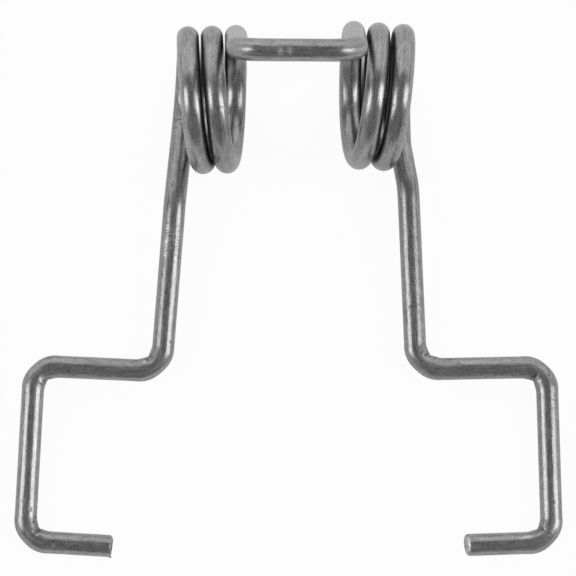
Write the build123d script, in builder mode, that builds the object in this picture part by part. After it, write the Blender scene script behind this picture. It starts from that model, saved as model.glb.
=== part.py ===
"""Clutch spring: a double torsion spring, bent from one length of round spring wire.

The spring stands on its coils and on the feet of its hooks. Each half runs from a sheared tip
through a square hook and a shoulder, along a leg to a knee, and down a slight neck into its coil.
The first quarter of a turn, the lead, spreads a little from the coil towards the neck.
Past two turns and a part of a third the wire leaves the coil upwards as an arm, and a straight
bridge joins the two arms. The coils wind opposite ways, and the hooks face each other.

Axes: +X to the right, +Y from the hooks to the coils, +Z up from the floor that it stands on.
The origin is on the floor, under the middle of the spring. Lengths are in millimetres and
angles in degrees. A run of wire is measured between the corners where centrelines meet, and
those of necks, legs and hooks as they are seen from above.
"""

import os
from dataclasses import dataclass
from math import cos, hypot, pi, radians, sin, sqrt, tan

from build123d import *

# Wire
WIRE_DIAMETER = 3.0
WIRE_RADIUS = WIRE_DIAMETER / 2
BEND_RADIUS = 3.4  # centreline of the bends at the bridge and the shoulders
HOOK_BEND_RADIUS = 3.15  # centreline of the two bends of each hook
NECK_BEND_RADIUS = 10.0  # centreline of the slight bends at both ends of a neck

# Coils
COIL_MEAN_DIAMETER = 17.0
COIL_RADIUS = COIL_MEAN_DIAMETER / 2
COIL_WHOLE_TURNS = 2
COIL_SPACING = 30.2  # between the outer ends of the two coils' axes
COIL_RISE = 1.7  # the inner end of each axis is further from the hooks
LEAD_TURN = 75.0  # of a coil, up from its lowest point, where its lead begins

# Bridge
ARM_RUN = 17.0  # from the coil to the corner of the bridge

# Legs
NECK_RISE = 11.0  # of the wire from the coil up to the knee
LEG_DROP = 35.97  # from a coil's axis to its shoulder, along Y
SHOULDER_ANGLE = 1.9  # the outer end of a shoulder is nearer the coils
HOOK_RUN = 23.73
HOOK_SPLAY = 2.2
TIP_ANGLE = 2.7  # the tip is further from the coils than the hook's corner
SHEAR_SLANT = 4.0  # the cut faces turn this far from square towards the hooks' feet


@dataclass(frozen=True)
class Half:
    """The places and angles in which the two halves of a bent spring differ a little."""

    side: int  # -1 on the left, 1 on the right
    coil_shift: float  # of the coil along Y
    coil_pitch: float
    coil_splay: float  # the inner end of the coil's axis is higher
    arm_lean: float  # of the arm from upright, towards the hooks
    lead_lean: float  # of the wire where the coil's lead ends and the neck starts
    neck_start: float  # straight run from the lead before the neck bends
    neck_lean: float
    knee_drop: float  # from the middle of the coils to the knee, along Y
    leg_lean: float
    shoulder_run: float
    tip_run: float  # to the middle of the cut face
    shear_angle: float  # the cut face leans up this far from square


LEFT = Half(
    side=-1,
    coil_shift=-0.37,
    coil_pitch=3.26,
    coil_splay=3.2,
    arm_lean=17.3,
    lead_lean=4.3,
    neck_start=1.5,
    neck_lean=4.8,
    knee_drop=13.2,
    leg_lean=3.7,
    shoulder_run=17.23,
    tip_run=11.8,
    shear_angle=2.0,
)
RIGHT = Half(
    side=1,
    coil_shift=0.37,
    coil_pitch=3.36,
    coil_splay=4.8,
    arm_lean=19.5,
    lead_lean=1.5,
    neck_start=3.4,
    neck_lean=10.2,
    knee_drop=10.8,
    leg_lean=3.05,
    shoulder_run=17.69,
    tip_run=11.6,
    shear_angle=9.0,
)


def coil_plane(half: Half) -> Plane:
    """Plane whose z axis is the coil's axis and whose x axis meets the start of its helix."""
    rise = radians(COIL_RISE)
    splay = radians(half.coil_splay)
    inwards = Vector(-half.side * cos(rise) * cos(splay), sin(rise) * cos(splay), sin(splay))
    downwards = (inwards * inwards.Z - Vector(0, 0, 1)).normalized()
    wire_heading = inwards.cross(Vector(0, 0, half.side)).normalized()
    climb = half.coil_pitch / (2 * pi * COIL_RADIUS) * tan(splay)
    to_lowest = (downwards - wire_heading * climb).normalized()
    centre = Vector(half.side * COIL_SPACING / 2, half.coil_shift, 0)
    return Plane(
        origin=centre + inwards * (half.coil_pitch * LEAD_TURN / 360),
        x_dir=to_lowest.rotate(Axis((0, 0, 0), inwards), -half.side * LEAD_TURN),
        z_dir=inwards,
    )


def heading(half: Half, lean: float) -> Vector:
    """Level direction from the coils to the hooks, turned outwards by the lean."""
    return Vector(half.side * sin(radians(lean)), -cos(radians(lean)), 0)


def neck_direction(half: Half) -> Vector:
    """Direction of the wire where the lead ends, towards the knee."""
    rise = Vector(0, 0, tan(radians(NECK_RISE)))
    return (heading(half, half.lead_lean) + rise).normalized()


def coil_line(half: Half) -> Edge:
    """Centreline of one coil, from its lead to the arm.

    The lead is an arc from the start of the helix to the neck, and its lowest point is where the
    wire lies on the floor.
    """
    turns = COIL_WHOLE_TURNS + (90 + half.arm_lean - LEAD_TURN) / 360
    helix = Helix(
        pitch=half.coil_pitch,
        height=half.coil_pitch * turns,
        radius=COIL_RADIUS,
        lefthand=half.side > 0,
        mode=Mode.PRIVATE,
    )
    coil = coil_plane(half) * helix
    leaving = -(coil % 0)
    lead_axis = leaving.cross(neck_direction(half)).normalized()
    lead_centre = coil @ 0 + lead_axis.cross(leaving) * COIL_RADIUS
    lowest = lead_centre.Z - COIL_RADIUS * sqrt(1 - lead_axis.Z**2)
    return Location((0, 0, WIRE_RADIUS - lowest)) * coil


def shear_depth(half: Half) -> float:
    """How far a leaning cut reaches along the wire on each side of its centre."""
    return WIRE_RADIUS * hypot(tan(radians(half.shear_angle)), tan(radians(SHEAR_SLANT)))


def leg_corners(half: Half, coil: Edge) -> list[Vector]:
    """Corners of one leg, from the end of its coil's lead to its uncut tip.

    The wire rises to the knee, and falls evenly from there to the foot of the hook.
    """
    leaving = -(coil % 0)
    arriving = neck_direction(half)
    lead_angle = radians(leaving.get_angle(arriving))
    lead_end = coil @ 0 + (leaving + arriving) * (COIL_RADIUS * tan(lead_angle / 2))
    neck_top = lead_end + arriving * half.neck_start
    rise = Vector(0, 0, tan(radians(NECK_RISE)))
    neck_run = (neck_top.Y + half.knee_drop) / cos(radians(half.neck_lean))
    knee = neck_top + (heading(half, half.neck_lean) + rise) * neck_run
    leg_run = (knee.Y + LEG_DROP - half.coil_shift) / cos(radians(half.leg_lean))
    fall = Vector(0, 0, (knee.Z - WIRE_RADIUS) / (leg_run + HOOK_RUN))
    shoulder = knee + (heading(half, half.leg_lean) - fall) * leg_run
    hook_top = shoulder + heading(half, 90 + SHOULDER_ANGLE) * half.shoulder_run
    hook_foot = hook_top + (heading(half, HOOK_SPLAY) - fall) * HOOK_RUN
    tip = hook_foot + heading(half, TIP_ANGLE - 90) * (half.tip_run + shear_depth(half))
    return [lead_end, neck_top, knee, shoulder, hook_top, hook_foot, tip]


# Centreline of the whole wire, from the left tip to the right one
left_coil = coil_line(LEFT)
right_coil = coil_line(RIGHT)
left_corners = leg_corners(LEFT, left_coil)
right_corners = leg_corners(RIGHT, right_coil)
leg_radii = [NECK_BEND_RADIUS] * 2 + [BEND_RADIUS] + [HOOK_BEND_RADIUS] * 2
with BuildLine() as centreline:
    FilletPolyline(*left_corners[::-1], radius=leg_radii[::-1])
    TangentArc(left_coil @ 0, left_corners[0], tangent=-(left_coil % 0))
    add(left_coil)
    FilletPolyline(
        left_coil @ 1,
        left_coil @ 1 + (left_coil % 1) * ARM_RUN,
        right_coil @ 1 + (right_coil % 1) * ARM_RUN,
        right_coil @ 1,
        radius=BEND_RADIUS,
    )
    add(right_coil)
    TangentArc(right_coil @ 0, right_corners[0], tangent=-(right_coil % 0))
    FilletPolyline(*right_corners, radius=leg_radii)

# The middle of the centreline's outline goes over the origin
middle = centreline.line.bounding_box().center()
to_origin = Location((-middle.X, -middle.Y, 0))
wire_path = to_origin * centreline.line

with BuildPart() as clutch_spring:
    with BuildSketch(Plane(origin=wire_path @ 0, z_dir=wire_path % 0)):
        Circle(WIRE_RADIUS)
    sweep(path=wire_path)

    # Both tips are sheared a little out of square, with the cut faces turned up
    for half, tip, outwards in (
        (LEFT, wire_path @ 0, -(wire_path % 0)),
        (RIGHT, wire_path @ 1, wire_path % 1),
    ):
        cut_centre = tip - outwards * shear_depth(half)
        cut_lean = Vector(0, -tan(radians(SHEAR_SLANT)), tan(radians(half.shear_angle)))
        cut_normal = (outwards + cut_lean).normalized()
        with BuildSketch(Plane(origin=cut_centre, z_dir=cut_normal)):
            Circle(WIRE_DIAMETER)
        extrude(amount=WIRE_DIAMETER, mode=Mode.SUBTRACT)

os.makedirs("parts", exist_ok=True)
clutch_spring.part.label = "clutch_spring"
export_step(clutch_spring.part, "parts/clutch_spring.step")
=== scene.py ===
"""Looks of a clutch spring: one length of drawn steel wire, bent into a double torsion spring.

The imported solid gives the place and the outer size. The wire is built again here on the same
centreline, in finer steps, with what its making left on it: lines from the drawing die, bends
that are flattened outside and pinched inside, tool marks, pits, a scuffed patch and sheared tips.

Lengths are in millimetres and angles in degrees, as in the part's own source, but the floor, the
lamps and what is marked so are in metres. Everything stands in the part's frame.
"""

import itertools
import logging
import math
from bisect import bisect_right
from dataclasses import dataclass, field, replace
from enum import Enum

import bmesh
import bpy
from mathutils import Matrix, Vector, noise


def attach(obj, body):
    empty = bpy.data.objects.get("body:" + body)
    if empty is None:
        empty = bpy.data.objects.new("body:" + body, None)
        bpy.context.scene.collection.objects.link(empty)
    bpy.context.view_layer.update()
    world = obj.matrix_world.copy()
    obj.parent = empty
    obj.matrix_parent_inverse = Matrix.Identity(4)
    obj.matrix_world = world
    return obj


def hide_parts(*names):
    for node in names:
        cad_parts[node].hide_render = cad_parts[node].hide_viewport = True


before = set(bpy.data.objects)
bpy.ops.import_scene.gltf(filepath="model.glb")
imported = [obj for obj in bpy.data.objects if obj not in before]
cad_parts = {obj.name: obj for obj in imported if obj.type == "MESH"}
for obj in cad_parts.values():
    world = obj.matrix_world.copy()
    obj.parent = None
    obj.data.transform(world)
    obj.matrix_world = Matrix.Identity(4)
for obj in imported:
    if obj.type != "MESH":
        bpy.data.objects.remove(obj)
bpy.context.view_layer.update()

MM = 0.001
UP = Vector((0, 0, 1))
TANGENT_STEP = 1e-3  # on each side of a point, to find the wire's direction there
DARKENING_FACING = (0.5, 0.9)  # how squarely a surface faces a corner, from no darkening to full darkening
LOG = logging.getLogger("clutch_spring")


def ease(value: float, low: float, high: float) -> float:
    """Ease from 0 at one value to 1 at another, level at both ends."""
    share = min(max((value - low) / (high - low), 0.0), 1.0)
    return share * share * (3 - 2 * share)


def bell(distance: float, reach: float) -> float:
    """Height of a smooth bump of height 1, at a distance from its middle."""
    return ease(reach - abs(distance), 0.0, reach)


def to_object(
    mesh: bmesh.types.BMesh, name: str, material: bpy.types.Material
) -> bpy.types.Object:
    """Turn a finished mesh into an object with smooth faces, in the scene.

    Args:
        mesh: The mesh, which is freed.
        name: Name of the object and its data.
        material: What the mesh is made of.

    Returns:
        The object.
    """
    for face in mesh.faces:
        face.smooth = True
    data = bpy.data.meshes.new(name)
    mesh.to_mesh(data)
    mesh.free()
    data.materials.append(material)
    made = bpy.data.objects.new(name, data)
    bpy.context.scene.collection.objects.link(made)
    return made


# The wire's centreline


@dataclass(frozen=True)
class Half:
    """Places and angles in which the two halves of the spring differ a little."""

    side: int  # -1 on the left, 1 on the right
    coil_shift: float  # of the coil along Y
    coil_pitch: float
    coil_splay: float  # the inner end of the coil's axis is higher
    arm_lean: float  # of the arm from upright, towards the hooks
    lead_lean: float  # of the wire where the coil's lead ends and the neck starts
    neck_start: float  # straight run from the lead before the neck bends
    neck_lean: float
    knee_drop: float  # from the middle of the coils to the knee, along Y
    leg_lean: float
    shoulder_run: float
    tip_run: float  # to the middle of the cut face
    shear_angle: float  # the cut face leans up this far from square

    def heading(self, lean: float) -> Vector:
        """Level direction from the coils to the hooks, turned outwards by the lean."""
        angle = math.radians(lean)
        return Vector((self.side * math.sin(angle), -math.cos(angle), 0))


LEFT = Half(
    side=-1,
    coil_shift=-0.37,
    coil_pitch=3.26,
    coil_splay=3.2,
    arm_lean=17.3,
    lead_lean=4.3,
    neck_start=1.5,
    neck_lean=4.8,
    knee_drop=13.2,
    leg_lean=3.7,
    shoulder_run=17.23,
    tip_run=11.8,
    shear_angle=2.0,
)
RIGHT = Half(
    side=1,
    coil_shift=0.37,
    coil_pitch=3.36,
    coil_splay=4.8,
    arm_lean=19.5,
    lead_lean=1.5,
    neck_start=3.4,
    neck_lean=10.2,
    knee_drop=10.8,
    leg_lean=3.05,
    shoulder_run=17.69,
    tip_run=11.6,
    shear_angle=9.0,
)


@dataclass(frozen=True)
class Run:
    """A straight run of wire."""

    start: Vector
    end: Vector

    @property
    def length(self) -> float:
        """Length of the run."""
        return (self.end - self.start).length

    def point(self, distance: float) -> Vector:
        """Point at a distance from the start."""
        return self.start.lerp(self.end, distance / self.length)


@dataclass(frozen=True)
class Bend:
    """A bend that joins two runs along an arc."""

    centre: Vector
    start: Vector
    axis: Vector
    turn: float

    @property
    def radius(self) -> float:
        """Radius of the centreline."""
        return (self.start - self.centre).length

    @property
    def length(self) -> float:
        """Length of the arc."""
        return self.radius * self.turn

    def point(self, distance: float) -> Vector:
        """Point at a distance from the start."""
        turned = Matrix.Rotation(distance / self.radius, 3, self.axis)
        return self.centre + turned @ (self.start - self.centre)

    def reversed(self) -> "Bend":
        """Same bend, followed from its end to its start."""
        return Bend(self.centre, self.point(self.length), -self.axis, self.turn)


@dataclass(frozen=True)
class Coil:
    """A wound coil, from its lead to the arm, or the other way round if it is reversed."""

    centre: Vector
    to_start: Vector
    across: Vector
    inwards: Vector
    radius: float
    pitch: float
    turns: float
    reverse: bool = False

    @property
    def length(self) -> float:
        """Length of the wound wire."""
        return self.turns * math.hypot(2 * math.pi * self.radius, self.pitch)

    def point(self, distance: float) -> Vector:
        """Point at a distance from the start.

        Args:
            distance: How far along the wound wire.

        Returns:
            The point.
        """
        share = distance / self.length
        turned = (1 - share if self.reverse else share) * self.turns
        angle = 2 * math.pi * turned
        around = self.to_start * math.cos(angle) + self.across * math.sin(angle)
        return self.centre + around * self.radius + self.inwards * (self.pitch * turned)

    def direction(self, distance: float) -> Vector:
        """Unit tangent at a distance from the start."""
        after, before = self.point(distance + TANGENT_STEP), self.point(distance - TANGENT_STEP)
        return (after - before).normalized()


Stretch = Run | Bend | Coil


def rounded(corners: list[Vector], radii: list[float]) -> list[Stretch]:
    """Join corners by straight runs and tangent bends.

    Args:
        corners: The places where the runs would meet.
        radii: One bend radius for each inner corner.

    Returns:
        The runs and bends, in order.
    """
    stretches: list[Stretch] = []
    start = corners[0]
    for before, corner, after, radius in zip(corners, corners[1:], corners[2:], radii):
        arriving = (corner - before).normalized()
        leaving = (after - corner).normalized()
        turn = arriving.angle(leaving)
        setback = radius * math.tan(turn / 2)
        axis = arriving.cross(leaving).normalized()
        bend_start = corner - arriving * setback
        stretches.append(Run(start, bend_start))
        stretches.append(Bend(bend_start + axis.cross(arriving) * radius, bend_start, axis, turn))
        start = corner + leaving * setback
    stretches.append(Run(start, corners[-1]))
    return stretches


@dataclass(frozen=True)
class Place:
    """A named place on the wire: the middle of a bend, or the start of a coil."""

    distance: float
    inside: Vector
    sharp: bool


@dataclass
class Centreline:
    """The line that the middle of the wire follows, from the left tip to the right one."""

    wire_diameter: float = 3.0
    bend_radius: float = 3.4  # of the bends at the bridge and the shoulders
    hook_bend_radius: float = 3.15
    neck_bend_radius: float = 10.0
    coil_mean_diameter: float = 17.0
    coil_whole_turns: int = 2
    coil_spacing: float = 30.2  # between the outer ends of the two coils' axes
    coil_rise: float = 1.7  # the inner end of each axis is further from the hooks
    lead_turn: float = 75.0  # of a coil, up from its lowest point, where its lead begins
    arm_run: float = 17.0  # from the coil to the corner of the bridge
    neck_rise: float = 11.0  # of the wire from the coil up to the knee
    leg_drop: float = 35.97  # from a coil's axis to its shoulder, along Y
    shoulder_angle: float = 1.9  # the outer end of a shoulder is nearer the coils
    hook_run: float = 23.73
    hook_splay: float = 2.2
    tip_angle: float = 2.7  # the tip is further from the coils than the hook's corner
    shear_slant: float = 4.0  # the cut faces turn this far from square towards the hooks' feet
    stretches: list[Stretch] = field(init=False, default_factory=list)
    starts: list[float] = field(init=False, default_factory=list)
    places: dict[str, Place] = field(init=False, default_factory=dict)
    shift: Vector = field(init=False, default_factory=Vector)

    BENDS = (
        "left_hook_foot",
        "left_hook_top",
        "left_shoulder",
        "left_knee",
        "left_neck_top",
        "left_lead",
        "left_arm",
        "right_arm",
        "right_lead",
        "right_neck_top",
        "right_knee",
        "right_shoulder",
        "right_hook_top",
        "right_hook_foot",
    )

    def __post_init__(self) -> None:
        """Lay out the stretches, find the shift to the origin and name the places."""
        left_coil, right_coil = self.coil(LEFT), self.coil(RIGHT)
        left_lead, right_lead = self.lead(LEFT, left_coil), self.lead(RIGHT, right_coil)
        left_leg, right_leg = self.leg(LEFT, left_lead), self.leg(RIGHT, right_lead)
        radii = [self.neck_bend_radius] * 2 + [self.bend_radius] + [self.hook_bend_radius] * 2
        bridge = [*self.arm(left_coil), *self.arm(right_coil)[::-1]]
        self.stretches += rounded(left_leg[::-1], radii[::-1])
        self.stretches += [left_lead.reversed(), left_coil]
        self.stretches += rounded(bridge, [self.bend_radius] * 2)
        self.stretches += [replace(right_coil, reverse=True), right_lead]
        self.stretches += rounded(right_leg, radii)
        lengths = [stretch.length for stretch in self.stretches]
        self.starts = list(itertools.accumulate(lengths[:-1], initial=0.0))
        self.shift = self.shift_to_origin()
        self.name_places()

    def name_places(self) -> None:
        """Keep the middle of each bend and the start of each coil by name."""
        bends = iter(self.BENDS)
        coils = iter(("left_coil", "right_coil"))
        for start, stretch in zip(self.starts, self.stretches):
            if isinstance(stretch, Bend):
                middle = stretch.length / 2
                inside = (stretch.centre - stretch.point(middle)).normalized()
                sharp = stretch.radius < 2 * self.bend_radius
                self.places[next(bends)] = Place(start + middle, inside, sharp)
            elif isinstance(stretch, Coil):
                self.places[next(coils)] = Place(start, -stretch.to_start, sharp=False)

    @property
    def wire_radius(self) -> float:
        """Radius of the wire."""
        return self.wire_diameter / 2

    @property
    def length(self) -> float:
        """Length of the whole wire, before its tips are sheared."""
        return self.starts[-1] + self.stretches[-1].length

    def neck_direction(self, half: Half) -> Vector:
        """Direction of the wire where the lead ends, towards the knee."""
        rise = UP * math.tan(math.radians(self.neck_rise))
        return (half.heading(half.lead_lean) + rise).normalized()

    def coil(self, half: Half) -> Coil:
        """Coil of one half, at the height at which its lead lies on the floor.

        Args:
            half: The half that the coil belongs to.

        Returns:
            The coil, wound from its lead to the arm.
        """
        rise, splay = math.radians(self.coil_rise), math.radians(half.coil_splay)
        towards_bridge = Vector((-half.side * math.cos(rise), math.sin(rise), 0))
        inwards = towards_bridge * math.cos(splay) + UP * math.sin(splay)
        radius = self.coil_mean_diameter / 2
        downwards = (inwards * inwards.z - UP).normalized()
        wire_heading = inwards.cross(UP * half.side).normalized()
        climb = half.coil_pitch / (2 * math.pi * radius) * math.tan(splay)
        to_lowest = (downwards - wire_heading * climb).normalized()
        centre = Vector((half.side * self.coil_spacing / 2, half.coil_shift, 0))
        past = Matrix.Rotation(math.radians(-half.side * self.lead_turn), 3, inwards)
        to_start = past @ to_lowest
        coil = Coil(
            centre=centre + inwards * (half.coil_pitch * self.lead_turn / 360),
            to_start=to_start,
            across=inwards.cross(to_start) * -half.side,
            inwards=inwards,
            radius=radius,
            pitch=half.coil_pitch,
            turns=self.coil_whole_turns + (90 + half.arm_lean - self.lead_turn) / 360,
        )
        lead = self.lead(half, coil)
        lowest = lead.centre.z - radius * math.sqrt(1 - lead.axis.z**2)
        return replace(coil, centre=coil.centre + UP * (self.wire_radius - lowest))

    def lead(self, half: Half, coil: Coil) -> Bend:
        """Arc that leads the wire from the start of a coil to the neck.

        Args:
            half: The half that the coil belongs to.
            coil: The coil.

        Returns:
            The arc, from the coil to the neck.
        """
        start, leaving = coil.point(0), -coil.direction(0)
        axis = leaving.cross(self.neck_direction(half)).normalized()
        turn = leaving.angle(self.neck_direction(half))
        return Bend(start + axis.cross(leaving) * coil.radius, start, axis, turn)

    def leg(self, half: Half, lead: Bend) -> list[Vector]:
        """Corners of one leg, from the end of its coil's lead to its uncut tip.

        The wire rises to the knee, and falls evenly from there to the foot of the hook.

        Args:
            half: The half that the leg belongs to.
            lead: The lead that the leg runs into.

        Returns:
            The corners, in order.
        """
        lead_end = lead.point(lead.length)
        neck_top = lead_end + self.neck_direction(half) * half.neck_start
        rise = UP * math.tan(math.radians(self.neck_rise))
        along_neck, along_leg = half.heading(half.neck_lean), half.heading(half.leg_lean)
        neck_run = (neck_top.y + half.knee_drop) / -along_neck.y
        knee = neck_top + (along_neck + rise) * neck_run
        leg_run = (knee.y + self.leg_drop - half.coil_shift) / -along_leg.y
        fall = UP * ((knee.z - self.wire_radius) / (leg_run + self.hook_run))
        shoulder = knee + (along_leg - fall) * leg_run
        hook_top = shoulder + half.heading(90 + self.shoulder_angle) * half.shoulder_run
        hook_foot = hook_top + (half.heading(self.hook_splay) - fall) * self.hook_run
        uncut_run = half.tip_run + self.shear_depth(half)
        tip = hook_foot + half.heading(self.tip_angle - 90) * uncut_run
        return [lead_end, neck_top, knee, shoulder, hook_top, hook_foot, tip]

    def arm(self, coil: Coil) -> list[Vector]:
        """Where an arm leaves its coil, and the corner where it meets the bridge."""
        end = coil.point(coil.length)
        return [end, end + coil.direction(coil.length) * self.arm_run]

    def shear_depth(self, half: Half) -> float:
        """How far a leaning cut reaches along the wire on each side of its centre."""
        lean, slant = math.radians(half.shear_angle), math.radians(self.shear_slant)
        return self.wire_radius * math.hypot(math.tan(lean), math.tan(slant))

    def shift_to_origin(self) -> Vector:
        """Shift that puts the middle of the centreline's outline over the origin.

        Returns:
            The shift, which is level.
        """
        steps = 2000
        points = [
            stretch.point(stretch.length * step / steps)
            for stretch in self.stretches
            for step in range(steps + 1)
        ]
        middle_x = (min(p.x for p in points) + max(p.x for p in points)) / 2
        middle_y = (min(p.y for p in points) + max(p.y for p in points)) / 2
        return Vector((-middle_x, -middle_y, 0))

    def stretch_at(self, distance: float) -> tuple[float, Stretch]:
        """Where along the wire a stretch starts, and the stretch itself."""
        found = max(bisect_right(self.starts, distance) - 1, 0)
        return self.starts[found], self.stretches[found]

    def point(self, distance: float) -> Vector:
        """Point of the centreline in the part's frame, at a distance from the left tip."""
        start, stretch = self.stretch_at(distance)
        return stretch.point(distance - start) + self.shift

    def tangent(self, distance: float) -> Vector:
        """Unit direction of the wire, towards the right tip."""
        after, before = self.point(distance + TANGENT_STEP), self.point(distance - TANGENT_STEP)
        return (after - before).normalized()


# The wire's surface


@dataclass
class Relief:
    """How one point of the surface departs from a bare round wire, in shape and in finish."""

    raised: float = 0.0
    bent: float = 0.0
    darkening: float = 0.0
    scuffed: float = 0.0
    rub_and_painted_highlight: float = 0.0
    cut: float = 0.0


class MarkKind(Enum):
    """What left a mark on the wire."""

    NICK = "edge of a bending tool"
    PIT = "grit pressed in at the die"
    CREASE = "fold across the wire"
    SCUFF = "rubbing across the wire"
    # Also used for a painted highlight, as a lighter patch.
    RUB = "rubbed bright"


@dataclass(frozen=True)
class Mark:
    """A mark on the wire, placed from a named place on it, with its half sizes."""

    kind: MarkKind
    near: str
    offset: float
    facing: tuple[float, float, float]
    along: float = 0.2
    across: float = 0.2
    depth: float = 0.05
    shine: float = 1.0  # of what is rubbed bright

    EDGE = 2.0  # how many half sizes from its middle a mark ends
    LIP_REACH = 0.7
    LIP_SHARE = 0.35
    LUMPS_ALONG = 1.4
    LUMPS_ACROSS = 0.9
    LUMPS_SEED = 5.0
    LUMPS_FRACTAL = (0.8, 2.0, 3)  # increment, gap and number of octaves

    @property
    def full_reach(self) -> float:
        """How far along the wire the mark and its lip reach."""
        return (self.EDGE + self.LIP_REACH) * self.along

    def press(self, relief: Relief, along: float, across: float) -> None:
        """Press the mark into the surface.

        Args:
            relief: What the mark adds to.
            along: From the mark's middle, along the wire.
            across: From the mark's middle, around the wire.
        """
        reach = math.hypot(along / self.along, across / self.across)
        hollow = bell(reach, self.EDGE)
        if self.kind is MarkKind.RUB:
            relief.rub_and_painted_highlight = max(relief.rub_and_painted_highlight, self.shine * hollow)
            return
        if self.kind is MarkKind.SCUFF:
            lumps = Vector((along * self.LUMPS_ALONG, across * self.LUMPS_ACROSS, self.LUMPS_SEED))
            relief.scuffed = max(relief.scuffed, hollow)
            relief.raised += self.depth * hollow * noise.fractal(lumps, *self.LUMPS_FRACTAL)
            return
        lip = bell(reach - self.EDGE, self.LIP_REACH)
        relief.raised += self.depth * (self.LIP_SHARE * lip - hollow)
        # The hollow of a nick, pit or crease is darkened.
        relief.darkening = max(relief.darkening, hollow)


@dataclass(frozen=True)
class BendWear:
    """What the bending tools leave at a sharp bend.

    The outside is flattened and the inside is pinched, between the swellings where the edges of
    the tools stood.
    """

    reach: float = 4.2
    bent_reach: float = 3.36
    flattening: float = 0.04
    pinch: float = 0.10
    pinch_reach: float = 1.0
    swelling: float = 0.08
    outer_swelling: float = 0.048
    edge_distance: float = 1.7
    edge_reach: float = 1.4
    full_facing: float = 0.8  # how squarely a surface faces in or out where its wear is full
    darkening: float = 0.5
    darkening_reach: float = 1.8
    lump_pace: float = 2.3
    lump_height: float = 0.5

    def reaches(self, place: Place, distance: float) -> bool:
        """Whether a place on the wire is a sharp bend that reaches a point along it."""
        return place.sharp and abs(distance - place.distance) < self.reach

    def press(
        self, relief: Relief, place: Place, distance: float, outwards: Vector, straight: Vector
    ) -> None:
        """Press the wear of one bend into the surface.

        Args:
            relief: What the bend adds to.
            place: The bend.
            distance: From the middle of the bend, along the wire.
            outwards: Direction that the surface faces.
            straight: The point's place on the straight wire.
        """
        facing_in = outwards.dot(place.inside)
        inner = ease(facing_in, 0.0, self.full_facing)
        outer = ease(-facing_in, 0.0, self.full_facing)
        middle = bell(distance, self.pinch_reach)
        edges = bell(abs(distance) - self.edge_distance, self.edge_reach)
        rough = self.lump_height * noise.noise(straight * self.lump_pace)
        relief.raised += inner * (self.swelling * edges - self.pinch * middle * (1 + rough))
        relief.raised += outer * (self.outer_swelling * edges - self.flattening * middle)
        relief.bent = max(relief.bent, bell(distance, self.bent_reach))
        # The inside of the bend is darkened unevenly, most where it faces the corner squarely.
        corner = ease(facing_in, *DARKENING_FACING) * bell(distance, self.darkening_reach)
        relief.darkening = max(relief.darkening, corner * (self.darkening + rough))


@dataclass
class Section:
    """A cross-section of the wire, with the directions that its surface is measured from."""

    distance: float
    centre: Vector
    tangent: Vector
    normal: Vector
    side: Vector

    def outwards(self, angle: float) -> Vector:
        """Unit direction from the centre, at an angle around the wire."""
        return self.normal * math.cos(angle) + self.side * math.sin(angle)

    def angle_of(self, direction: Vector) -> float:
        """Angle around the wire at which its surface faces a direction."""
        return math.atan2(direction.dot(self.side), direction.dot(self.normal))

    def next(self, distance: float, centre: Vector, tangent: Vector) -> "Section":
        """Carry the directions on to the next cross-section, with no twist.

        Args:
            distance: How far along the wire the next one is.
            centre: Its centre.
            tangent: Its direction.

        Returns:
            The next cross-section.
        """
        step = (centre - self.centre).normalized()
        normal = self.normal - step * (2 * step.dot(self.normal))
        mirrored = self.tangent - step * (2 * step.dot(self.tangent))
        turn = (tangent - mirrored).normalized()
        normal = (normal - turn * (2 * turn.dot(normal))).normalized()
        return Section(distance, centre, tangent, normal, tangent.cross(normal))


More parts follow.
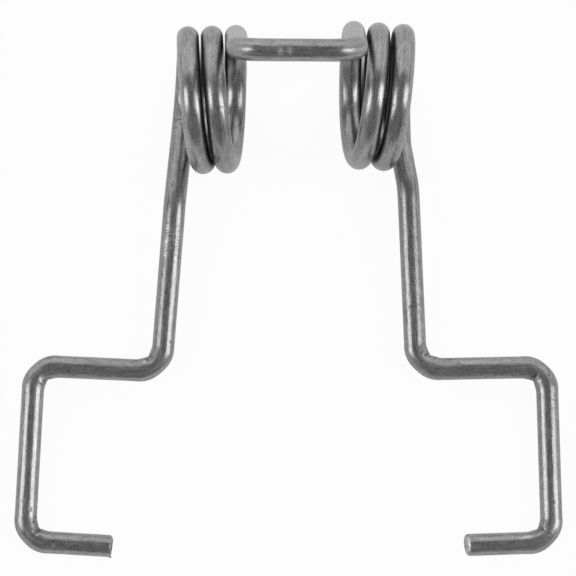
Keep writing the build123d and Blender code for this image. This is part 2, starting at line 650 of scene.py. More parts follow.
@dataclass(frozen=True)
class Tip:
    """A sheared tip, rolled over where the blade came in and burred or worn where it went out."""

    half: Half
    rolled_edge: float
    lower_edge: float
    # How much darker the cut face is.
    darkening: float
    # Painted highlight on the rim where it faces up: how much lighter it is.
    shine: float = 0.0
    painted_highlight_start: float = 0.1
    painted_highlight_reach: float = 0.35
    painted_highlight_facing: tuple[float, float] = (0.6, 0.933)  # how squarely the rim faces up
    burr_length: float = 0.0
    burr_height: float = 0.0
    burr_spread: float = 0.6
    burr_reach: float = 0.5

    def edge(self, outwards: Vector) -> float:
        """Radius of the rim, largest where the blade came in."""
        share = ease(outwards.y, -1.0, 1.0)
        return self.lower_edge + (self.rolled_edge - self.lower_edge) * share

    def burr(self, outwards: Vector) -> float:
        """Share of the burr at a point of the rim."""
        return bell(outwards.angle(Vector((0, -1, 0))), self.burr_spread)

    def cut_depth(self, line: Centreline, offset: Vector) -> float:
        """Distance along the wire from the uncut end to the cut face.

        Args:
            line: The wire's centreline.
            offset: From the wire's centre to the point.

        Returns:
            The distance.
        """
        lean = math.tan(math.radians(self.half.shear_angle))
        slant = math.tan(math.radians(line.shear_slant))
        return line.shear_depth(self.half) + offset.z * lean - offset.y * slant

    def rolled(self, from_rim: float, outwards: Vector) -> float:
        """How far the surface falls in near the cut face.

        Args:
            from_rim: Distance from the cut face.
            outwards: Direction that the surface faces.

        Returns:
            The fall.
        """
        edge = self.edge(outwards)
        fallen = max(edge - from_rim, 0.0)
        return edge - math.sqrt(edge * edge - fallen * fallen)

    def shape(
        self, line: Centreline, reach: float, to_tip: float, outwards: Vector, relief: Relief
    ) -> float:
        """Shape the surface at one point near the tip.

        Args:
            line: The wire's centreline.
            reach: How far from the uncut end the surface is moved along the wire.
            to_tip: From the point's cross-section to the uncut end.
            outwards: Direction that the surface faces.
            relief: What the tip adds to.

        Returns:
            How far the point moves along the wire, towards the right tip.
        """
        depth = self.cut_depth(line, outwards * line.wire_radius)
        from_rim = to_tip * (1 - depth / reach)
        burr = self.burr(outwards) * bell(from_rim, self.burr_reach)
        relief.raised += self.burr_height * burr - self.rolled(from_rim, outwards)
        # Painted highlight: the rim is lighter where it faces up.
        shine = self.shine * bell(from_rim - self.painted_highlight_start, self.painted_highlight_reach)
        relief.rub_and_painted_highlight = max(relief.rub_and_painted_highlight, shine * ease(outwards.z, *self.painted_highlight_facing))
        return -self.half.side * (depth + from_rim - self.burr_length * burr - to_tip)


Ring = list[bmesh.types.BMVert]


class Skin:
    """The wire's surface in the making: a mesh whose points carry masks for the finish.

    Each point also carries its place on the straight wire, in millimetres, so that the finish can
    follow the wire through its bends.
    """

    MASKS = ("bent", "darkening", "scuffed", "rub_and_painted_highlight", "cut")

    def __init__(self) -> None:
        """Start an empty mesh."""
        self.mesh = bmesh.new()
        layers = self.mesh.verts.layers
        self.masks = {name: layers.float.new(name) for name in self.MASKS}
        self.straight = layers.float_vector.new("straight")

    def point(
        self, centre: Vector, offset: Vector, place: tuple[float, float], relief: Relief
    ) -> bmesh.types.BMVert:
        """Add one point with its place on the straight wire and its masks.

        Args:
            centre: Centre of its cross-section.
            offset: From there to the point.
            place: Its distance along the wire and its angle around it.
            relief: The masks.

        Returns:
            The point.
        """
        point = self.mesh.verts.new((centre + offset) * MM)
        along, angle = place
        reach = offset.length
        point[self.straight] = Vector((along, reach * math.cos(angle), reach * math.sin(angle)))
        for name, layer in self.masks.items():
            point[layer] = getattr(relief, name)
        return point

    def join(self, first: Ring, second: Ring) -> None:
        """Join two rings by a band of faces.

        Args:
            first: One ring.
            second: The other, with as many points.
        """
        for index, point in enumerate(first):
            after = (index + 1) % len(first)
            self.mesh.faces.new((point, first[after], second[after], second[index]))

    def close(self, rim: Ring, centre: bmesh.types.BMVert) -> None:
        """Fill a ring with faces round its centre."""
        for index, point in enumerate(rim):
            self.mesh.faces.new((point, rim[(index + 1) % len(rim)], centre))

    def finish(self, name: str, material: bpy.types.Material) -> bpy.types.Object:
        """Turn the faces outwards and make the object."""
        bmesh.ops.recalc_face_normals(self.mesh, faces=self.mesh.faces)
        return to_object(self.mesh, name, material)


@dataclass(frozen=True)
class SettledMark:
    """A mark with its distance along the wire and its angle around it."""

    mark: Mark
    middle: float
    turned: float

    def reaches(self, distance: float) -> bool:
        """Whether the mark reaches a cross-section at a distance along the wire."""
        return abs(distance - self.middle) < self.mark.full_reach


@dataclass
class SpringWire:
    """The whole wire as one closed mesh."""

    line: Centreline
    marks: tuple[Mark, ...] = ()
    left_tip: Tip = Tip(
        LEFT, rolled_edge=0.5, lower_edge=0.1, darkening=1.1, burr_length=0.2, burr_height=0.12
    )
    right_tip: Tip = Tip(RIGHT, rolled_edge=0.32, lower_edge=0.35, darkening=0.25, shine=2.0)
    bend_wear: BendWear = BendWear()
    points_around: int = 44
    coarse_step: float = 0.34  # from ring to ring, on straight wire
    coil_step: float = 0.27
    fine_step: float = 0.14  # at sharp bends and marks
    mark_reach: float = 1.3  # of the fine steps around a mark, at least
    tip_reach: float = 2.4  # of the surface that is shaped with its tip
    rim_step: float = 0.03  # the finest of all, at the rim of a tip
    rim_growth: float = 0.24  # of the step, for each millimetre from the tip
    cap_rings: int = 9
    ripples: tuple[tuple[float, float], ...] = ((0.006, 1.1), (0.0024, 3.1))  # height, and pace
    ripple_stretch: float = 0.45  # below 1, so that ripples are longest along the wire
    torn_edge: tuple[float, float] = (-0.15, 0.35)  # along Y, from torn to smooth
    torn_height: float = 0.05
    torn_step: float = 0.02
    torn_pace: float = 2.2
    torn_fractal: tuple[float, float, int] = (0.9, 2.1, 4)  # increment, gap and octaves
    slit_painted_shade: float = 1.35
    slit_reach: float = 1.4  # the widest gap between turns that gets painted shade
    turns_apart: float = 12.0  # along the wire, at least, between places on two turns
    neighbour_stride: int = 4  # every fourth cross-section is searched for nearby turns

    def build(self, material: bpy.types.Material) -> bpy.types.Object:
        """Make the mesh and dress it.

        Args:
            material: The steel of the wire.

        Returns:
            The object, linked to the scene.
        """
        skin = Skin()
        sections = self.sections()
        marks = self.settle_marks(sections)
        others = sections[:: self.neighbour_stride]
        rings = [
            self.ring(skin, section, marks, self.beside(section, others)) for section in sections
        ]
        for first, second in zip(rings, rings[1:]):
            skin.join(first, second)
        self.cap(skin, sections[0], rings[0], self.left_tip)
        self.cap(skin, sections[-1], rings[-1], self.right_tip)
        return skin.finish("spring_wire", material)

    def middle_of(self, mark: Mark) -> float:
        """How far along the wire the middle of a mark lies."""
        return self.line.places[mark.near].distance + mark.offset

    def step_at(self, distance: float) -> float:
        """Distance from one ring to the next, finer at tips, sharp bends and marks.

        Args:
            distance: How far along the wire the first ring is.

        Returns:
            The distance.
        """
        to_tip = min(distance, self.line.length - distance)
        if to_tip < self.tip_reach:
            return min(max(self.rim_step, self.rim_growth * to_tip), self.fine_step)
        if any(self.bend_wear.reaches(place, distance) for place in self.line.places.values()):
            return self.fine_step
        for mark in self.marks:
            if abs(distance - self.middle_of(mark)) < max(self.mark_reach, mark.EDGE * mark.along):
                return self.fine_step
        if isinstance(self.line.stretch_at(distance)[1], Coil):
            return self.coil_step
        return self.coarse_step

    def sections(self) -> list[Section]:
        """Lay out cross-sections from the left tip to the right one.

        Returns:
            The cross-sections, in order.
        """
        length = self.line.length
        from_left, from_right = [0.0], [0.0]
        while from_left[-1] < length / 2:
            from_left.append(from_left[-1] + self.step_at(from_left[-1]))
        while from_right[-1] < length - from_left[-1] - self.coarse_step:
            from_right.append(from_right[-1] + self.step_at(length - from_right[-1]))
        distances = from_left + [length - distance for distance in from_right[::-1]]
        tangent = self.line.tangent(0)
        normal = (UP - tangent * tangent.dot(UP)).normalized()
        sections = [Section(0.0, self.line.point(0), tangent, normal, tangent.cross(normal))]
        for distance in distances[1:]:
            centre, tangent = self.line.point(distance), self.line.tangent(distance)
            sections.append(sections[-1].next(distance, centre, tangent))
        return sections

    def settle_marks(self, sections: list[Section]) -> list[SettledMark]:
        """Find how far along and around the wire each mark lies.

        Args:
            sections: Cross-sections all along the wire.

        Returns:
            The marks with their places.
        """
        settled = []
        for mark in self.marks:
            middle = self.middle_of(mark)
            nearest = min(sections, key=lambda section: abs(section.distance - middle))
            settled.append(SettledMark(mark, middle, nearest.angle_of(Vector(mark.facing))))
        return settled

    def beside(self, section: Section, others: list[Section]) -> list[Vector]:
        """Find where the wire lies close beside itself, as the turns of a coil do.

        Args:
            section: The cross-section.
            others: Cross-sections all along the wire.

        Returns:
            Directions of other turns, as long as 1 where they touch and shorter further off.
        """
        found = []
        for other in others:
            away = other.centre - section.centre
            closeness = bell(away.length - self.line.wire_diameter, self.slit_reach)
            if closeness > 0 and abs(other.distance - section.distance) > self.turns_apart:
                found.append(away.normalized() * closeness)
        return found

    def ring(
        self, skin: Skin, section: Section, marks: list[SettledMark], beside: list[Vector]
    ) -> Ring:
        """Add one ring of the surface.

        Args:
            skin: The surface that the ring goes into.
            section: The cross-section that it stands on.
            marks: All marks.
            beside: Directions in which other turns lie.

        Returns:
            The ring's points, in order around the wire.
        """
        ring = []
        near_left = section.distance < self.line.length / 2
        to_tip = section.distance if near_left else self.line.length - section.distance
        tip = self.left_tip if near_left else self.right_tip
        bends = [p for p in self.line.places.values() if self.bend_wear.reaches(p, section.distance)]
        near_marks = [mark for mark in marks if mark.reaches(section.distance)]
        for index in range(self.points_around):
            angle = 2 * math.pi * index / self.points_around
            outwards = section.outwards(angle)
            relief = self.relief(section.distance, angle, outwards, bends, near_marks)
            # Painted shade: the surface is darkened where it faces another turn close by.
            facing = max((outwards.dot(towards) for towards in beside), default=0.0)
            relief.darkening = max(relief.darkening, self.slit_painted_shade * ease(facing, *DARKENING_FACING))
            moved = 0.0
            if to_tip < self.tip_reach:
                moved = tip.shape(self.line, self.tip_reach, to_tip, outwards, relief)
            centre = section.centre + section.tangent * moved
            offset = outwards * (self.line.wire_radius + relief.raised)
            ring.append(skin.point(centre, offset, (section.distance + moved, angle), relief))
        return ring

    def relief(
        self,
        distance: float,
        angle: float,
        outwards: Vector,
        bends: list[Place],
        marks: list[SettledMark],
    ) -> Relief:
        """Work out how the surface departs from a round wire at one point.

        Args:
            distance: How far along the wire the point is.
            angle: Its angle around the wire.
            outwards: Direction that the surface faces there.
            bends: The sharp bends that reach the point's cross-section.
            marks: The marks that reach it.

        Returns:
            The relief.
        """
        relief = Relief()
        radius = self.line.wire_radius
        straight = Vector((distance, radius * math.cos(angle), radius * math.sin(angle)))
        stretched = Vector((straight.x * self.ripple_stretch, straight.y, straight.z))
        for height, pace in self.ripples:
            relief.raised += height * noise.noise(stretched * pace)
        for place in bends:
            self.bend_wear.press(relief, place, distance - place.distance, outwards, straight)
        for settled in marks:
            around = math.remainder(angle - settled.turned, 2 * math.pi) * radius
            settled.mark.press(relief, distance - settled.middle, around)
        return relief

    def cap(self, skin: Skin, section: Section, rim: Ring, tip: Tip) -> None:
        """Close a tip with its cut face: smooth where the blade came in, torn beyond.

        Args:
            skin: The surface.
            section: The cross-section at the uncut end.
            rim: The last ring of the wire.
            tip: The sheared tip.
        """
        for ring_number in range(1, self.cap_rings):
            share = 1 - ring_number / self.cap_rings
            ring = []
            for index in range(self.points_around):
                angle = 2 * math.pi * index / self.points_around
                reach = (self.line.wire_radius - tip.edge(section.outwards(angle))) * share
                ring.append(self.cut_point(skin, section, tip, (reach, angle)))
            skin.join(rim, ring)
            rim = ring
        skin.close(rim, self.cut_point(skin, section, tip, (0.0, 0.0)))

    def cut_point(
        self, skin: Skin, section: Section, tip: Tip, polar: tuple[float, float]
    ) -> bmesh.types.BMVert:
        """Add one point of a cut face.

        Args:
            skin: The surface.
            section: The cross-section at the uncut end.
            tip: The sheared tip.
            polar: Distance from the wire's centre and angle around it.

        Returns:
            The point.
        """
        reach, angle = polar
        offset = section.outwards(angle) * reach
        torn = 1 - ease(offset.y, *self.torn_edge)
        rough = noise.fractal(offset * self.torn_pace, *self.torn_fractal)
        depth = tip.cut_depth(self.line, offset) + torn * (self.torn_height * rough + self.torn_step)
        moved = -tip.half.side * depth
        centre = section.centre + section.tangent * moved
        relief = Relief(cut=1.0, darkening=tip.darkening)
        return skin.point(centre, offset, (section.distance + moved, angle), relief)


# Finishes


class Value:
    """A number that a shader works out at each point, with Python's own operators."""

    def __init__(self, graph: "Graph", socket: bpy.types.NodeSocket) -> None:
        """Wrap a socket.

        Args:
            graph: The graph that the socket belongs to.
            socket: The output socket.
        """
        self.graph = graph
        self.socket = socket

    def __add__(self, other: "Term") -> "Value":
        """Sum."""
        return self.graph.maths("ADD", self, other)

    __radd__ = __add__

    def __sub__(self, other: "Term") -> "Value":
        """Difference."""
        return self.graph.maths("SUBTRACT", self, other)

    def __rsub__(self, other: "Term") -> "Value":
        """Difference from a number."""
        return self.graph.maths("SUBTRACT", other, self)

    def __mul__(self, other: "Term") -> "Value":
        """Product."""
        return self.graph.maths("MULTIPLY", self, other)

    __rmul__ = __mul__

    def __abs__(self) -> "Value":
        """Size without the sign."""
        return self.graph.maths("ABSOLUTE", self, 0.0)

    def between(self, low: float, high: float) -> "Value":
        """Ease from 0 at one value to 1 at another.

        Args:
            low: Where the result is 0.
            high: Where it is 1.

        Returns:
            The eased value.
        """
        return self.graph.output(
            "ShaderNodeMapRange",
            {"interpolation_type": "SMOOTHSTEP"},
            {"Value": self, "From Min": low, "From Max": high},
            "Result",
        )


Term = Value | float
Settings = dict[str, str]
Inputs = dict[str | int, object]


class Graph:
    """Adds nodes to one node tree."""

    MIX_COLOURS = (6, 7)  # a Mix node's colour inputs, whose names other inputs have too
    MIX_RESULT = 2

    def __init__(self, tree: bpy.types.NodeTree) -> None:
        """Take over a node tree, and empty it.

        Args:
            tree: The tree.
        """
        self.tree = tree
        self.tree.nodes.clear()

    def node(self, kind: str, settings: Settings, inputs: Inputs) -> bpy.types.Node:
        """Add a node.

        Args:
            kind: Type of the node.
            settings: Its own settings, which are set first.
            inputs: Values or links of its sockets, by name or number.

        Returns:
            The node.
        """
        made = self.tree.nodes.new(kind)
        for name, value in settings.items():
            setattr(made, name, value)
        for name, value in inputs.items():
            if isinstance(value, Value):
                value = value.socket
            if isinstance(value, bpy.types.NodeSocket):
                self.tree.links.new(value, made.inputs[name])
            else:
                made.inputs[name].default_value = value
        return made

    def output(self, kind: str, settings: Settings, inputs: Inputs, name: str) -> Value:
        """Add a node and take one of its outputs as a value."""
        return Value(self, self.node(kind, settings, inputs).outputs[name])

    def maths(self, operation: str, first: Term, second: Term) -> Value:
        """Add a Math node."""
        return self.output("ShaderNodeMath", {"operation": operation}, {0: first, 1: second}, "Value")

    def greys(self, share: Value, dark: float, light: float) -> bpy.types.NodeSocket:
        """Blend two greys.

        Args:
            share: Share of the light one.
            dark: The grey at 0.
            light: The grey at 1.

        Returns:
            The colour socket.
        """
        first, second = self.MIX_COLOURS
        inputs = {0: share, first: (dark,) * 3 + (1,), second: (light,) * 3 + (1,)}
        return self.node("ShaderNodeMix", {"data_type": "RGBA"}, inputs).outputs[self.MIX_RESULT]

    def mask(self, name: str) -> Value:
        """Read a mask that the mesh carries."""
        return self.output("ShaderNodeAttribute", {"attribute_name": name}, {}, "Fac")


@dataclass(frozen=True)
class Grain:
    """A pattern on the straight wire: how often it repeats in a millimetre."""

    along: float
    across: float
    detail: float = 3.0
    roughness: float = 0.55

    def value(self, graph: Graph) -> Value:
        """Make the pattern.

        Args:
            graph: The material's graph.

        Returns:
            The pattern, as a value from -0.5 to 0.5.
        """
        place = graph.node("ShaderNodeAttribute", {"attribute_name": "straight"}, {})
        stretched = graph.node(
            "ShaderNodeVectorMath",
            {"operation": "MULTIPLY"},
            {0: place.outputs["Vector"], 1: (self.along, self.across, self.across)},
        )
        inputs = {
            "Vector": stretched.outputs["Vector"],
            "Scale": 1.0,
            "Detail": self.detail,
            "Roughness": self.roughness,
        }
        return graph.output("ShaderNodeTexNoise", {}, inputs, "Fac") - 0.5


@dataclass(frozen=True)
class SteelMasks:
    """The masks that the mesh carries: 0 on plain steel, and up to 2 where they are strong."""

    bent: Value
    darkening: Value
    scuffed: Value
    rub_and_painted_highlight: Value
    cut: Value


@dataclass(frozen=True)
class SteelPatterns:
    """The patterns on the steel. Pits and scratches go up from 0 to 1, and the rest lie around 0."""

    die_lines: Value
    fine_lines: Value
    mottle: Value
    speckle: Value
    bloom: Value
    scuffs: Value
    torn: Value
    pits: Value
    scratches: Value


@dataclass(frozen=True)
class DrawnSteel:
    """Satin grey steel, as spring wire comes from the drawing die and the coiling tools."""

    name: str = "drawn_spring_steel"
    grey: float = 0.33
    roughness: float = 0.27
    line_height: float = 1.6e-5  # metres
    die_lines: Grain = Grain(along=0.22, across=5.5, detail=3.0)
    fine_lines: Grain = Grain(along=0.9, across=13.0, detail=2.0)
    mottle: Grain = Grain(along=0.7, across=2.2, detail=4.0)
    speckle: Grain = Grain(along=3.5, across=6.5, detail=3.0)
    bloom: Grain = Grain(along=0.05, across=0.35, detail=2.0)
    pits: Grain = Grain(along=1.7, across=2.6, detail=1.0)
    pit_edge: tuple[float, float] = (0.20, 0.28)
    scratches: Grain = Grain(along=0.5, across=0.8, detail=0.5)
    scratch_width: float = 0.012
    scratched_patches: tuple[float, float] = (0.0, 0.16)
    scuffs: Grain = Grain(along=5.5, across=0.9, detail=2.0)
    torn: Grain = Grain(along=3.0, across=2.4, detail=4.0)

    def material(self) -> bpy.types.Material:
        """Make the material.

        Returns:
            The material, for meshes that carry the masks and the straight wire's places.
        """
        made = bpy.data.materials.new(self.name)
        made.use_nodes = True
        graph = Graph(made.node_tree)
        masks = SteelMasks(**{name: graph.mask(name) for name in Skin.MASKS})
        patterns = self.patterns(graph)
        grey = self.tone(masks, patterns) * self.grey
        height = self.height(masks, patterns)
        bump = graph.node(
            "ShaderNodeBump", {}, {"Strength": 1.0, "Distance": self.line_height, "Height": height}
        )
        inputs = {
            "Base Color": graph.greys(grey, 0.0, 1.0),
            "Metallic": 1.0,
            "Roughness": self.rough(masks, patterns),
            "Normal": bump.outputs["Normal"],
        }
        shader = graph.node("ShaderNodeBsdfPrincipled", {}, inputs)
        graph.node("ShaderNodeOutputMaterial", {}, {"Surface": shader.outputs["BSDF"]})
        return made

    def patterns(self, graph: Graph) -> SteelPatterns:
        """Make the patterns.

        Args:
            graph: The material's graph.

        Returns:
            The patterns. Scratches keep to some patches of the mottle.
        """
        mottle = self.mottle.value(graph)
        scratch = 1 - abs(self.scratches.value(graph)).between(0.0, self.scratch_width)
        return SteelPatterns(
            die_lines=self.die_lines.value(graph),
            fine_lines=self.fine_lines.value(graph),
            mottle=mottle,
            speckle=self.speckle.value(graph),
            bloom=self.bloom.value(graph),
            scuffs=self.scuffs.value(graph),
            torn=self.torn.value(graph),
            pits=self.pits.value(graph).between(*self.pit_edge),
            scratches=scratch * mottle.between(*self.scratched_patches),
        )

    def tone(self, masks: SteelMasks, patterns: SteelPatterns) -> Value:
        """How light the steel is, where 1 is its plain grey.

        Args:
            masks: The masks.
            patterns: The patterns.

        Returns:
            The tone. Pits and the darkening mask darken it, and what is scratched, scuffed, rubbed or
            cut is lighter, as are the painted highlights.
        """
        tone = 1 + 1.1 * patterns.die_lines + 0.85 * patterns.mottle + 1.2 * patterns.speckle
        tone = tone + 0.4 * patterns.bloom
        # Darker where the mask says: painted shade between close turns, and darker mark hollows, bend
        # insides and cut faces.
        tone = tone * (1 - 0.5 * patterns.pits) * (1 - 0.55 * masks.darkening)
        tone = tone + 0.18 * patterns.scratches
        tone = tone + (0.2 + 1.8 * patterns.scuffs) * masks.scuffed
        # Lighter where rubbed, and at the painted highlights.
        tone = tone + (0.7 + 1.5 * patterns.speckle) * masks.rub_and_painted_highlight
        cut_tone = 1.7 + 4.0 * patterns.torn - 1.2 * masks.darkening
        return (1 - masks.cut) * tone + masks.cut * cut_tone

    def rough(self, masks: SteelMasks, patterns: SteelPatterns) -> Value:
        """How rough the steel is.

        Args:
            masks: The masks.
            patterns: The patterns.

        Returns:
            The roughness.
        """
        rough = self.roughness + 0.18 * patterns.mottle + 0.12 * patterns.die_lines
        rough = rough + 0.06 * masks.bent + 0.10 * masks.darkening
        return rough + 0.10 * masks.rub_and_painted_highlight + 0.12 * masks.cut

    def height(self, masks: SteelMasks, patterns: SteelPatterns) -> Value:
        """How high the fine relief stands, in steps of the height of the die lines.

        Args:
            masks: The masks.
            patterns: The patterns.

        Returns:
            The height. Bends and scuffs are grainier, and a cut face has its own coarse grain.
        """
        height = patterns.die_lines + 0.35 * patterns.fine_lines + 0.5 * patterns.mottle
        height = height - 0.5 * patterns.pits - 0.25 * patterns.scratches
        height = height + (0.12 + 0.5 * masks.bent + 0.6 * masks.scuffed) * patterns.speckle
        height = height + 6 * patterns.scuffs * masks.scuffed
        return (1 - masks.cut) * height + 3 * patterns.torn * masks.cut


@dataclass(frozen=True)
class PaleSweep:
    """White paper that the spring lies on. It looks white, and keeps the spring's shadow.

    Little light comes down between the turns of a coil, so the paper's grey and its own light are
    lowered softly under it, a painted shade.
    """

    name: str = "white_paper"
    grey: float = 0.9
    # grey of the paper at the middle of the painted shade
    shaded_grey: float = 0.14
    own_light: float = 0.95
    own_light_in_metal: float = 0.42
    shade_middle: tuple[float, float] = (11.5, 27.5)
    shade_reach: tuple[float, float] = (5.0, 10.0)
    shade_edge: tuple[float, float] = (0.15, 1.0)  # squared shares of the reach

    def material(self) -> bpy.types.Material:
        """Make the material.

        Returns:
            The material.
        """
        made = bpy.data.materials.new(self.name)
        made.use_nodes = True
        graph = Graph(made.node_tree)
        path = graph.node("ShaderNodeLightPath", {}, {}).outputs
        mirrored = Value(graph, path["Is Glossy Ray"]) + Value(graph, path["Is Transmission Ray"])
        own_light = Value(graph, path["Is Camera Ray"]) * self.own_light
        own_light = own_light + mirrored * self.own_light_in_metal
        # Painted shade: under the coils, the paper's own light and its grey are lowered.
        lit = 1 - self.under_coils(graph)
        own_light = own_light * lit
        grey = graph.greys(lit, self.shaded_grey, self.grey)
        paper = graph.node("ShaderNodeBsdfDiffuse", {}, {"Color": grey})
        white = graph.node("ShaderNodeEmission", {}, {"Color": (1, 1, 1, 1), "Strength": 1.0})
        mixed = graph.node(
            "ShaderNodeMixShader",
            {},
            {0: own_light, 1: paper.outputs["BSDF"], 2: white.outputs["Emission"]},
        )
        graph.node("ShaderNodeOutputMaterial", {}, {"Surface": mixed.outputs["Shader"]})
        return made

    def under_coils(self, graph: Graph) -> Value:
        """Painted shade on the paper: 1 under the middle of each coil, easing to 0 around it.

        Args:
            graph: The graph that the nodes go into.

        Returns:
            The shade.
        """
        place = graph.node("ShaderNodeTexCoord", {}, {}).outputs["Object"]
        axes = graph.node("ShaderNodeSeparateXYZ", {}, {"Vector": place}).outputs
        (middle_x, middle_y), (reach_x, reach_y) = self.shade_middle, self.shade_reach
        across = (abs(Value(graph, axes["X"])) - middle_x * MM) * (1 / (reach_x * MM))
        along = (Value(graph, axes["Y"]) - middle_y * MM) * (1 / (reach_y * MM))
        return 1 - (across * across + along * along).between(*self.shade_edge)


# The studio


@dataclass(frozen=True)
class Sweep:
    """Round floor of white paper, whose rim curves up into a low wall. Its sizes are in metres."""

    finish: PaleSweep
    floor_radius: float = 2.2
    floor_shares: tuple[float, ...] = (0.02, 0.1, 0.35, 1.0)
    cove_radius: float = 0.35
    cove_turn: float = 80.0
    cove_rings: int = 10
    points_around: int = 96

    def build(self) -> bpy.types.Object:
        """Make the floor.

        Returns:
            The object.
        """
        mesh = bmesh.new()
        profile = [(self.floor_radius * share, 0.0) for share in self.floor_shares]
        for step in range(1, self.cove_rings + 1):
            angle = math.radians(self.cove_turn) * step / self.cove_rings
            out = self.floor_radius + self.cove_radius * math.sin(angle)
            profile.append((out, self.cove_radius * (1 - math.cos(angle))))
        turns = [2 * math.pi * index / self.points_around for index in range(self.points_around)]
        rings = [
            [mesh.verts.new((out * math.cos(a), out * math.sin(a), height)) for a in turns]
            for out, height in profile
        ]
        mesh.faces.new(rings[0])
        for inner, outer in zip(rings, rings[1:]):
            for index in range(self.points_around):
                after = (index + 1) % self.points_around
                mesh.faces.new((inner[index], outer[index], outer[after], inner[after]))
        sweep = to_object(mesh, "paper_sweep", self.finish.material())
        return sweep


@dataclass(frozen=True)
class Softbox:
    """A soft lamp that faces the spring, with its place and size in metres.

    Its brightness is 1 where it looks white.
    """

    name: str
    bearing: float
    elevation: float
    distance: float
    width: float
    height: float
    brightness: float

    def build(self) -> bpy.types.Object:
        """Make the lamp.

        Returns:
            The lamp.
        """
        bearing, elevation = math.radians(self.bearing), math.radians(self.elevation)
        level = Vector((math.sin(bearing), math.cos(bearing), 0)) * math.cos(elevation)
        direction = level + UP * math.sin(elevation)
        light = bpy.data.lights.new(self.name, "AREA")
        light.shape = "RECTANGLE"
        light.size = self.width
        light.size_y = self.height
        light.energy = self.brightness * math.pi * self.width * self.height
        lamp = bpy.data.objects.new(self.name, light)
        lamp.location = direction * self.distance
        lamp.rotation_mode = "QUATERNION"
        lamp.rotation_quaternion = (-direction).to_track_quat("-Z", "Y")
        lamp.visible_camera = False
        bpy.context.scene.collection.objects.link(lamp)
        return lamp


@dataclass(frozen=True)
class Viewpoint:
    """Camera above the spring, leaning a little towards its hooks."""

    lean: float = 8.0
    yaw: float = -0.477
    roll: float = 0.69
    distance: float = 600.0
    aim: tuple[float, float] = (-0.4387, 1.1492)  # across and up the picture
    pixels_in_millimetre: float = 7.3281
    picture_pixels: int = 576
    sensor_width: float = 36.0
    clip: tuple[float, float] = (0.05, 20.0)  # metres

    def build(self) -> bpy.types.Object:
        """Make the camera and use it.

        Returns:
            The camera.
        """
        lean, yaw, roll = (math.radians(angle) for angle in (self.lean, self.yaw, self.roll))
        back = Vector(
            (math.sin(yaw), -math.sin(lean) * math.cos(yaw), math.cos(lean) * math.cos(yaw))
        )
        level_right = Vector((0, 1, 0)).cross(back).normalized()
        level_up = back.cross(level_right)
        right = level_right * math.cos(roll) + level_up * math.sin(roll)
        upwards = level_up * math.cos(roll) - level_right * math.sin(roll)
        place = right * self.aim[0] + upwards * self.aim[1] + back * self.distance
        view = bpy.data.cameras.new("camera")
        view.sensor_width = self.sensor_width
        focal_pixels = self.pixels_in_millimetre * self.distance
        view.lens = focal_pixels / self.picture_pixels * self.sensor_width
        view.clip_start, view.clip_end = self.clip
        camera = bpy.data.objects.new("camera", view)
        turned = Matrix((right, upwards, back)).transposed()
        camera.matrix_world = Matrix.Translation(place * MM) @ turned.to_4x4()
        bpy.context.scene.collection.objects.link(camera)
        bpy.context.scene.camera = camera
        return camera


@dataclass(frozen=True)
class Studio:
    """Floor, lamps and camera."""

    sweep: Sweep = Sweep(PaleSweep())
    room_grey: float = 0.3
    softboxes: tuple[Softbox, ...] = (
        Softbox(
            "left_softbox",
            bearing=-96.3,
            elevation=34.5,
            distance=0.9,
            width=0.36,
            height=0.576,
            brightness=2.8,
        ),
        Softbox(
            "right_softbox",
            bearing=96.3,
            elevation=32.0,
            distance=0.9,
            width=0.36,
            height=0.70,
            brightness=2.8,
        ),
        Softbox(
            "back_panel",
            bearing=0.0,
            elevation=30.0,
            distance=0.93,
            width=3.4,
            height=0.98,
            brightness=0.70,
        ),
    )
    viewpoint: Viewpoint = Viewpoint()

    def build(self) -> None:
        """Make the studio and set how pictures are shown."""
        self.sweep.build()
        for softbox in self.softboxes:
            softbox.build()
        self.viewpoint.build()
        world = bpy.data.worlds.new("room")
        world.use_nodes = True
        graph = Graph(world.node_tree)
        room = graph.node("ShaderNodeBackground", {}, {"Color": (self.room_grey,) * 3 + (1,)})
        graph.node("ShaderNodeOutputWorld", {}, {"Surface": room.outputs["Background"]})
        bpy.context.scene.world = world
        bpy.context.scene.view_settings.view_transform = "Standard"


# The marks on the wire, from the left tip to the right one

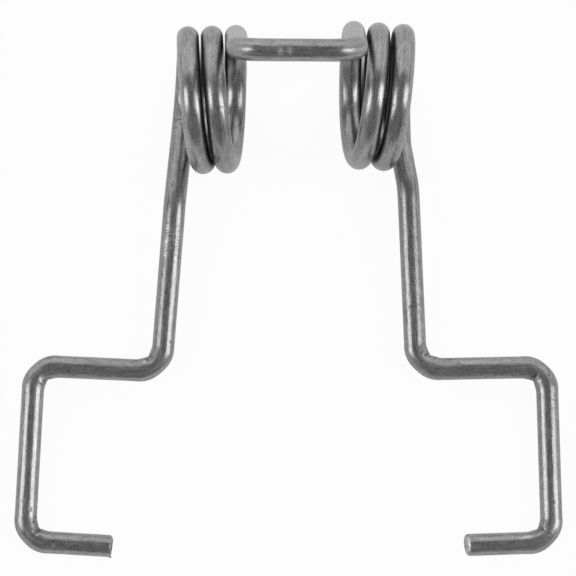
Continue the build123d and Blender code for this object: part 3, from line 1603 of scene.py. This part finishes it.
MARKS = (
    Mark(MarkKind.RUB, "left_hook_foot", -3.3, (0.0, -0.3, 0.9)),
    Mark(MarkKind.NICK, "left_hook_foot", -0.3, (0.5, 0.5, 0.7), 0.35, 0.9, 0.09),
    Mark(MarkKind.PIT, "left_hook_foot", 1.7, (0.7, 0.1, 0.7), 0.3, 0.16),
    Mark(MarkKind.PIT, "left_hook_foot", 2.6, (0.9, -0.1, 0.5), 0.25, 0.2),
    Mark(MarkKind.PIT, "left_hook_foot", 3.6, (0.5, -0.1, 0.9)),
    Mark(MarkKind.PIT, "left_hook_top", -1.7, (0.7, -0.2, 0.7), 0.18, 0.18),
    Mark(MarkKind.NICK, "left_hook_top", -0.6, (0.7, -0.5, 0.5), 0.35, 0.6, 0.08),
    Mark(MarkKind.RUB, "left_hook_top", -0.6, (0.5, -0.4, 0.8), 0.4, 0.3),
    Mark(MarkKind.PIT, "left_hook_top", 1.6, (-0.2, 0.7, 0.7), 0.3, 0.15, 0.03),
    Mark(MarkKind.PIT, "left_hook_top", 4.0, (0.0, -0.5, 0.9), 0.16, 0.16, 0.03),
    Mark(MarkKind.RUB, "left_shoulder", -1.1, (-0.2, 0.5, 0.8), 0.4, 0.25),
    Mark(MarkKind.NICK, "left_shoulder", -0.6, (-0.4, 0.6, 0.8), 0.3, 0.35, 0.08),
    Mark(MarkKind.NICK, "left_shoulder", 0.3, (-0.5, 0.4, 0.8), 0.25, 0.3, 0.06),
    Mark(MarkKind.PIT, "left_shoulder", 3.4, (0.7, -0.1, 0.8), 0.15, 0.15, 0.06),
    Mark(MarkKind.SCUFF, "left_knee", -5.3, (-0.1, -0.1, 1.0), 1.7, 1.2, 0.05),
    Mark(MarkKind.PIT, "left_knee", 1.8, (-0.4, 0.2, 0.9), 0.2, 0.12, 0.03),
    Mark(MarkKind.PIT, "left_neck_top", 0.2, (-0.6, 0.2, 0.8), 0.16, 0.16, 0.04),
    Mark(MarkKind.CREASE, "left_neck_top", 1.4, (-0.5, 0.2, 0.8), 0.12, 0.5, 0.04),
    Mark(MarkKind.NICK, "left_coil", 26.2, (-0.6, -0.8, 0.2), 0.8, 0.25),
    Mark(MarkKind.CREASE, "left_arm", -56.5, (0.4, -0.2, 0.9), 0.07, 0.6, 0.03),
    Mark(MarkKind.PIT, "left_arm", -53.9, (0.1, -0.6, 0.8), 0.2, 0.22, 0.06),
    Mark(MarkKind.NICK, "left_arm", -49.6, (-0.7, -0.7, 0.2), 0.5, 0.3),
    # Painted highlight: a lighter patch for the lamps' highlight on the left coil's last turn.
    Mark(MarkKind.RUB, "left_arm", -29.7, (-0.4, -0.3, 0.9), 0.7, 0.3),
    Mark(MarkKind.RUB, "left_arm", 5.0, (0.0, -0.3, 1.0), 0.32, 0.4, shine=1.6),
    Mark(MarkKind.RUB, "left_arm", 6.2, (0.0, -0.3, 1.0), 0.28, 0.42, shine=1.5),
    Mark(MarkKind.NICK, "right_lead", -33.3, (0.5, -0.8, 0.1), 0.6, 0.3),
    Mark(MarkKind.CREASE, "right_shoulder", -7.8, (-0.2, -0.1, 1.0), 0.08, 0.5, 0.03),
    Mark(MarkKind.PIT, "right_shoulder", -1.4, (0.4, 0.1, 0.9), 0.25, 0.15, 0.04),
    Mark(MarkKind.NICK, "right_shoulder", -0.5, (0.6, 0.4, 0.7), 0.22, 0.5, 0.12),
    Mark(MarkKind.NICK, "right_shoulder", 1.3, (0.3, 0.8, 0.5), 0.25, 0.35, 0.08),
    Mark(MarkKind.PIT, "right_shoulder", 3.9, (0.0, 0.8, 0.6), 0.2, 0.15, 0.04),
    Mark(MarkKind.PIT, "right_shoulder", 5.0, (0.0, 0.3, 0.9), 0.28, 0.15),
    Mark(MarkKind.NICK, "right_hook_top", -0.4, (-0.3, -0.6, 0.8), 0.35, 0.5, 0.09),
    Mark(MarkKind.RUB, "right_hook_top", 0.6, (-0.5, -0.4, 0.7), 0.45, 0.35),
    Mark(MarkKind.PIT, "right_hook_top", 0.8, (0.4, 0.2, 0.9), 0.2, 0.2, 0.04),
    Mark(MarkKind.PIT, "right_hook_foot", -4.7, (0.1, -0.1, 1.0), 0.18, 0.18),
    Mark(MarkKind.CREASE, "right_hook_foot", -0.4, (-0.5, 0.3, 0.8), 0.22, 0.9, 0.08),
    Mark(MarkKind.RUB, "right_hook_foot", 2.6, (0.0, 0.5, 0.9), 0.6, 0.2),
    Mark(MarkKind.RUB, "right_hook_foot", 3.4, (0.0, 0.4, 0.9), 0.3, 0.2),
)


def main() -> None:
    """Build the spring and the studio, and log the wire's length and number of faces."""
    logging.basicConfig(level=logging.INFO, format="%(name)s: %(message)s")
    line = Centreline()
    wire = SpringWire(line, MARKS).build(DrawnSteel().material())
    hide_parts("clutch_spring")
    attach(wire, "root")
    LOG.info("%s: %.1f mm of wire, %d faces", wire.name, line.length, len(wire.data.polygons))
    Studio().build()


if __name__ == "__main__":
    main()
